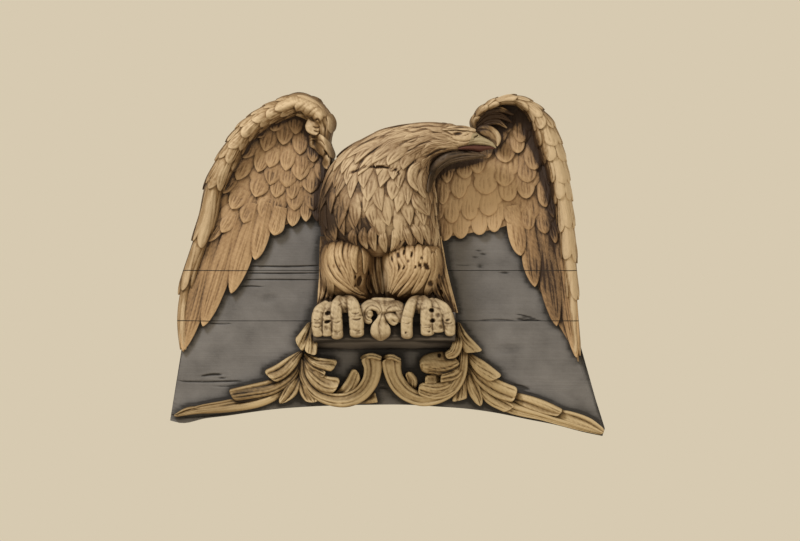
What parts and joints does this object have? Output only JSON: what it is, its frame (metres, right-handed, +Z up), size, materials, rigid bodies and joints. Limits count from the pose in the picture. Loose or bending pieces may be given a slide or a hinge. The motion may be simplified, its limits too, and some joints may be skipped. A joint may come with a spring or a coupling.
{
  "type": "eagle relief",
  "caption": "Carved wooden wall relief of an eagle with raised wings and its head turned aside, gripping a perch above acanthus sprays on a painted board.",
  "frame": {"origin": "on the flat back face, behind the middle of the bird's breast, where the relief is held to a wall", "axes": "+Y into the wall, so the carving faces -Y; +X to the viewer's right; +Z up"},
  "size_m": [1.2024, 0.257, 0.942],
  "materials": {
    "weathered_carving": "carved softwood under old worn ochre paint, dark in the recesses and pale on the edges, satin to matt",
    "painted_ground": "flat planks under matt grey oil paint, streaked and rubbed along the grain"
  },
  "bodies": {
    "root": {"upper_plank": "weathered_carving", "middle_plank": "painted_ground", "lower_plank": "painted_ground", "eagle_block": "weathered_carving", "perch": "weathered_carving"}
  },
  "joints": []
}
